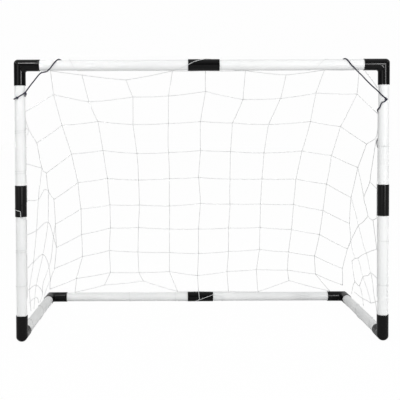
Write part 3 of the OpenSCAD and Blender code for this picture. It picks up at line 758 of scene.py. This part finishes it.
# ---------------------------------------------------------------- dark corner cords
# Their points are in millimetres: x inwards from the post's middle, drop down from the crossbar's
# middle, extra off the plastic. A turn is 0 at the front, and goes up over the crossbar or
# inwards round the post
def on_bar(s, x, angle, extra=0.0):
    a, reach = math.radians(angle), WRAP + extra * MM
    return (hand(s) * (HALF_W - x * MM), FRONT_Y - reach * math.cos(a),
            TOP_Z + reach * math.sin(a))


def on_post(s, drop, angle, extra=0.0):
    a, reach = math.radians(angle), WRAP + extra * MM
    return (hand(s) * (HALF_W - reach * math.sin(a)), FRONT_Y - reach * math.cos(a),
            TOP_Z - drop * MM)


def in_air(s, x, ahead, drop):
    return (hand(s) * (HALF_W - x * MM), FRONT_Y - ahead * MM, TOP_Z - drop * MM)


LEFT_CORD = [
    *(on_bar(0, *p) for p in (
        (142, 215, 1), (138, 175), (133, 132), (126.5, 90), (121, 60), (115, 29), (107, -4),
        (99, -36), (87, -63, 3.5))),
    *(in_air(0, *p) for p in (
        (78, 10, 22.5), (69, 10, 25), (60.5, 11, 33), (49, 11, 47.5), (36, 11, 63.5),
        (26, 11, 77))),
    *(on_post(0, *p) for p in (
        (85, 72, 1), (91, 46), (95.5, 22), (100.5, -3), (103.5, -14, 1.4), (106, -40, 1),
        (107, -66), (107, -100), (106, -135), (104, -175), (101, -215), (93, -245, 0.5),
        (88.5, -274, 1.2), (89, -291, 1.6), (94, -301, 1.0), (100, -304, 0.3))),
]
RIGHT_CORD = [
    *(on_bar(1, *p) for p in (
        (141, 215, 1), (136, 175), (131, 132), (125, 90), (118.5, 48), (112, 8), (99, -33))),
    *(in_air(1, *p) for p in (
        (86, 14, 23.3), (73, 13, 35.5), (59, 13, 50.4), (41.5, 13, 67.8), (25.5, 13.5, 82))),
    *(on_post(1, *p) for p in (
        (96.5, 38), (104, 12), (108.5, -6, 0.4), (112.5, -9, 1), (117, -1, 0.6), (119.5, 12),
        (122, 30), (129, 44), (137, 56), (141, 72), (144, 96), (149, 122), (158, 142),
        (180, 150, 1), (204, 160, 1), (224, 155, 3), (238, 145, 4.5), (246, 136, 5),
        (254, 136, 5), (266, 141, 4))),
]
LEFT_KNOT, RIGHT_KNOT = 19, 15  # the points that carry the cords' knots


def corner_cord(name, cad_node, route, knot):
    """The cord, worn thin over its last points, and the knot in it."""
    mesh = Mesh()
    path = smooth_path(route, 8)
    last = len(path) - 1
    worn = np.interp(np.arange(len(path)), [0, last - 29, last], [1, 1, 0.55])
    mesh.sweep(path, CORD_R * worn, sides=10)
    upright = trefoil(40, 1.15 * MM)[:, [0, 2, 1]]
    mesh.sweep(np.array(route[knot]) + upright, CORD_R * 0.75, sides=8, close_ends=False)
    mesh.make(name, NAVY, cad_node)


corner_cord("left_corner_cord_navy", "left_corner_cord", LEFT_CORD, LEFT_KNOT)
corner_cord("right_corner_cord_navy", "right_corner_cord", RIGHT_CORD, RIGHT_KNOT)


# ---------------------------------------------------------------- floor, backdrop and light
def make_floor(reach, seen_glow):
    """A pale floor that the camera sees as all but white, with the object's soft shadow."""
    mesh = bpy.data.meshes.new("floor")
    corners = [(-reach, -reach, 0), (reach, -reach, 0), (reach, reach, 0), (-reach, reach, 0)]
    mesh.from_pydata(corners, [], [(0, 1, 2, 3)])
    floor = bpy.data.objects.new("floor", mesh)
    bpy.context.scene.collection.objects.link(floor)
    mat, nodes, links, bsdf = new_material("floor_white")
    bsdf.inputs["Base Color"].default_value = (0.94, 0.94, 0.94, 1)
    bsdf.inputs["Roughness"].default_value = 0.9
    bsdf.inputs["Specular IOR Level"].default_value = 0.0
    glow = nodes.new("ShaderNodeEmission")
    glow.inputs["Strength"].default_value = 1.0
    seen = mixed(nodes, links, seen_glow, bsdf.outputs[0], glow.outputs[0])
    bounce = nodes.new("ShaderNodeBsdfDiffuse")
    bounce.inputs["Color"].default_value = (0.74, 0.74, 0.74, 1)
    path = nodes.new("ShaderNodeLightPath")
    both = mixed(nodes, links, path.outputs["Is Camera Ray"], bounce.outputs[0], seen)
    links.new(both, nodes["Material Output"].inputs["Surface"])
    mesh.materials.append(mat)


def make_world(level, from_behind, from_above, seen_level):
    """A dim room, lighter above and behind the object, that the camera sees as white."""
    world = bpy.data.worlds.new("studio")
    bpy.context.scene.world = world
    world.use_nodes = True
    nodes, links = world.node_tree.nodes, world.node_tree.links
    direction = nodes.new("ShaderNodeSeparateXYZ")
    links.new(nodes.new("ShaderNodeTexCoord").outputs["Generated"], direction.inputs[0])
    behind = mapped(nodes, links, direction.outputs["Y"], level, level + from_behind,
                    curve="SMOOTHSTEP")
    above = mapped(nodes, links, direction.outputs["Z"], 0.0, from_above, start=0.2,
                   curve="SMOOTHSTEP")
    room = nodes["Background"]
    room.inputs["Color"].default_value = (1, 1, 1, 1)
    links.new(maths(nodes, links, "ADD", behind, above), room.inputs["Strength"])
    white = nodes.new("ShaderNodeBackground")
    white.inputs["Color"].default_value = (1, 1, 1, 1)
    white.inputs["Strength"].default_value = seen_level
    path = nodes.new("ShaderNodeLightPath")
    seen = maths(nodes, links, "MAXIMUM", path.outputs["Is Camera Ray"],
                 path.outputs["Is Transmission Ray"])
    both = mixed(nodes, links, seen, room.outputs[0], white.outputs[0])
    links.new(both, nodes["World Output"].inputs["Surface"])


def area_light(name, at, aim, size, power, spread=180):
    """A rectangular lamp, aimed at a point."""
    data = bpy.data.lights.new(name, "AREA")
    data.shape = "RECTANGLE"
    data.size, data.size_y = size
    data.energy = power
    data.spread = math.radians(spread)
    obj = bpy.data.objects.new(name, data)
    obj.location = at
    obj.rotation_euler = (Vector(aim) - Vector(at)).to_track_quat("-Z", "Y").to_euler()
    bpy.context.scene.collection.objects.link(obj)


bpy.context.scene.view_settings.view_transform = "Standard"
make_floor(reach=30.0, seen_glow=0.975)
make_world(level=0.20, from_behind=0.25, from_above=0.50, seen_level=0.99)
MIDDLE = (0, 0, 0.45)
LEFT_KEY_AT = (-0.9, -1.7, 2.2)
for name, at, size, power in (
        ("right_side", (8.4, -2.2, 4.4), (3.4, 3.4), 138),
        ("left_side", (-8.4, -2.2, 4.4), (3.4, 3.4), 165),
        ("front_right", (3.1, -6.3, 0.9), (2.6, 2.6), 129),
        ("front_left", (-3.9, -5.8, 0.9), (3.8, 3.8), 64),
        ("right_key", (1.18, -2.30, 1.25), (0.2, 0.6), 10.4),
        ("left_key", LEFT_KEY_AT, (0.6, 0.12), 4.5)):
    area_light(name + "_softbox", at, MIDDLE, size, power)
# A gridded strip that draws the bright line along the top left elbow
area_light("left_elbow_glint", LEFT_KEY_AT, (-0.575, -0.3, 0.886), (0.30, 0.05), 0.12, spread=22)
